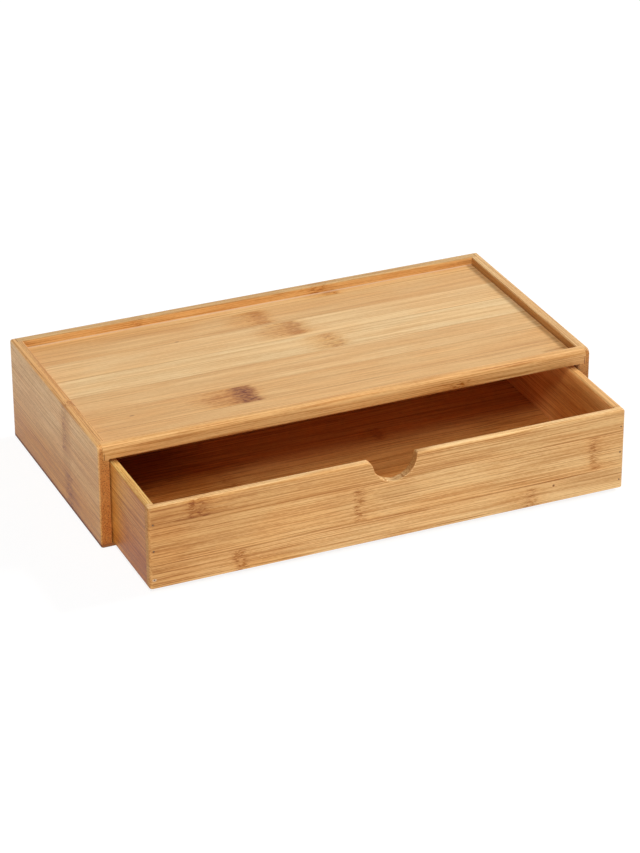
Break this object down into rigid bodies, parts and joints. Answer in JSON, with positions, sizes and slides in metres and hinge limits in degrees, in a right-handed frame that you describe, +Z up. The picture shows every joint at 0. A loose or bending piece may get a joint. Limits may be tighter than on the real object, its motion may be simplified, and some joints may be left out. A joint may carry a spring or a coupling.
{
  "type": "drawer storage box",
  "caption": "Low bamboo box for a desk or shelf: a casing with a raised rim round its top and a sliding drawer with a half-round finger notch.",
  "frame": {"origin": "centre of the casing's underside, on the surface it stands on", "axes": "+X to the right seen from the front, along the casing's width; +Y to the back, so the drawer opens towards -Y; +Z up"},
  "size_m": [0.34, 0.232, 0.071],
  "materials": {
    "bamboo": "sanded, clear satin lacquer",
    "brad_steel": "dull, set below the wood"
  },
  "bodies": {
    "casing": {"left_side_panel": "bamboo", "right_side_panel": "bamboo", "back_panel": "bamboo", "front_rail": "bamboo", "top_panel": "bamboo", "base_board": "bamboo", "base_left_brads": "brad_steel", "base_right_brads": "brad_steel", "base_back_brads": "brad_steel"},
    "drawer": {"drawer_front": "bamboo", "drawer_back": "bamboo", "drawer_left_side": "bamboo", "drawer_right_side": "bamboo", "drawer_floor": "bamboo", "drawer_front_left_brads": "brad_steel", "drawer_front_right_brads": "brad_steel", "drawer_back_left_brads": "brad_steel", "drawer_back_right_brads": "brad_steel"}
  },
  "joints": [
    {"name": "drawer_slide", "type": "slide", "parent": "casing", "child": "drawer", "axis": [0, -1, 0], "range_m": [-0.064, 0.086]}
  ]
}
